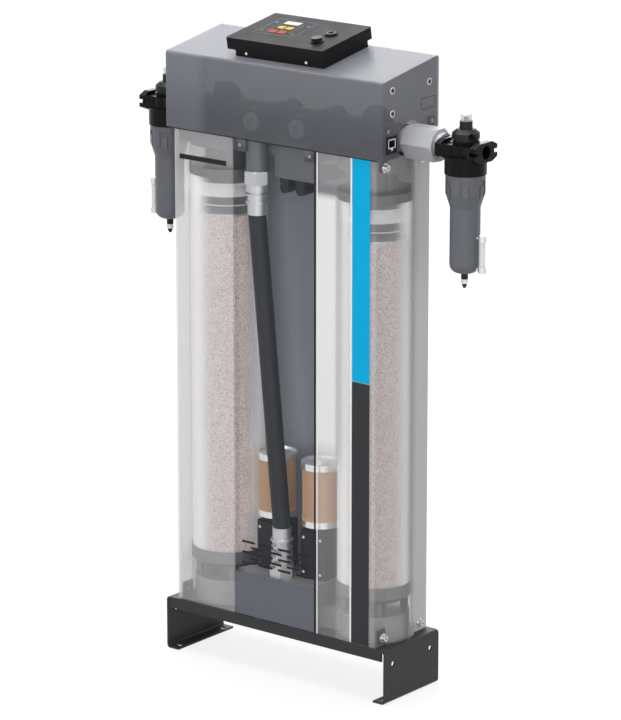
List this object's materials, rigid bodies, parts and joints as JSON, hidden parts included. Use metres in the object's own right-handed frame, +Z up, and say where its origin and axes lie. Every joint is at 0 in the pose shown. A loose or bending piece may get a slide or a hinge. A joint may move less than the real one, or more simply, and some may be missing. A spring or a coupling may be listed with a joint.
{
  "type": "desiccant air dryer",
  "caption": "Floor-standing twin-tower desiccant air dryer with see-through covers, a sloping hood with a controller, and an inlet and an outlet line filter.",
  "frame": {"origin": "centre of the stand on the floor", "axes": "+X across the front towards the outlet filter, +Y to the rear, +Z up"},
  "size_m": [0.6713, 0.143, 1.0528],
  "materials": {
    "black_sheet": "satin powder coat",
    "cover": "satin, shown see-through",
    "front_panel": "satin, shown see-through",
    "rear_panel": "satin powder coat",
    "hood": "satin powder coat",
    "screw": "zinc plated",
    "tube": "shown see-through",
    "desiccant": "loose beads",
    "cast": "cast",
    "dark_cast": "cast, dark",
    "steel": "turned",
    "seal": "moulded",
    "black_plastic": "moulded",
    "brass": "turned",
    "mesh": "wound wire",
    "hose": "smooth",
    "head": "satin black casting",
    "bowl": "satin grey",
    "element": "pleated",
    "clear": "clear",
    "red": "moulded"
  },
  "bodies": {
    "cabinet": {"base_frame": "black_sheet", "left_cover": "cover", "right_cover": "cover", "front_panel": "front_panel", "rear_panel": "rear_panel", "hood": "hood", "cover_screws": "screw", "panel_screws": "screw", "hood_screws": "screw", "left_tube": "tube", "right_tube": "tube", "left_bed": "desiccant", "right_bed": "desiccant", "left_bottom_cap": "cast", "right_bottom_cap": "cast", "left_top_cap": "cast", "right_top_cap": "cast", "bed_screens": "steel", "tube_seals": "seal", "top_manifold": "cast", "lower_manifold": "dark_cast", "valve_plugs": "steel", "pilot_valves": "black_plastic", "left_exhaust_valve": "black_plastic", "right_exhaust_valve": "black_plastic", "left_silencer_foot": "steel", "right_silencer_foot": "steel", "left_silencer_mesh": "mesh", "right_silencer_mesh": "mesh", "left_silencer_cap": "steel", "right_silencer_cap": "steel", "hose": "hose", "hose_top_fitting": "steel", "hose_low_fitting": "steel", "hose_nuts": "steel", "inlet_nipple": "steel", "outlet_adapter": "steel", "inlet_head": "head", "outlet_head": "head", "inlet_bowl": "bowl", "outlet_bowl": "bowl", "filter_elements": "element", "indicator_turrets": "black_plastic", "indicator_domes": "clear", "drain_stems": "black_plastic", "sight_tubes": "clear", "sight_fittings": "steel", "controller_lid": "black_plastic", "controller_plinth": "black_plastic", "network_jack": "black_plastic"},
    "push_button": {"push_button": "black_plastic"},
    "selector": {"selector": "black_plastic"},
    "left_check": {"left_check_poppet": "brass"},
    "right_check": {"right_check_poppet": "brass"},
    "left_exhaust": {"left_exhaust_plunger": "steel"},
    "right_exhaust": {"right_exhaust_plunger": "steel"},
    "inlet_indicator": {"inlet_pin": "red"},
    "outlet_indicator": {"outlet_pin": "red"},
    "inlet_drain": {"inlet_drain_knob": "steel"},
    "outlet_drain": {"outlet_drain_knob": "steel"}
  },
  "joints": [
    {"name": "button_press", "type": "slide", "parent": "cabinet", "child": "push_button", "axis": [0, 0.1655, -0.9862], "range_m": [0, 0.003], "stiffness_N_per_m": 500},
    {"name": "selector_turn", "type": "hinge", "parent": "cabinet", "child": "selector", "pos_m": [0.05, 0.01345, 1.04366], "axis": [0, -0.1655, 0.9862], "range_deg": [-45, 45]},
    {"name": "left_check_lift", "type": "slide", "parent": "cabinet", "child": "left_check", "axis": [0, -1, 0], "range_m": [0, 0.006]},
    {"name": "right_check_lift", "type": "slide", "parent": "cabinet", "child": "right_check", "axis": [0, -1, 0], "range_m": [0, 0.006]},
    {"name": "left_exhaust_lift", "type": "slide", "parent": "cabinet", "child": "left_exhaust", "axis": [0, 0, 1], "range_m": [0, 0.005]},
    {"name": "right_exhaust_lift", "type": "slide", "parent": "cabinet", "child": "right_exhaust", "axis": [0, 0, 1], "range_m": [0, 0.005]},
    {"name": "inlet_indicator_rise", "type": "slide", "parent": "cabinet", "child": "inlet_indicator", "axis": [0, 0, 1], "range_m": [0, 0.003]},
    {"name": "outlet_indicator_rise", "type": "slide", "parent": "cabinet", "child": "outlet_indicator", "axis": [0, 0, 1], "range_m": [0, 0.003]},
    {"name": "inlet_drain_turn", "type": "hinge", "parent": "cabinet", "child": "inlet_drain", "pos_m": [-0.2713, 0, 0.69], "axis": [0, 0, 1], "range_deg": [0, 180]},
    {"name": "outlet_drain_turn", "type": "hinge", "parent": "cabinet", "child": "outlet_drain", "pos_m": [0.3216, 0, 0.69], "axis": [0, 0, 1], "range_deg": [0, 180]}
  ]
}
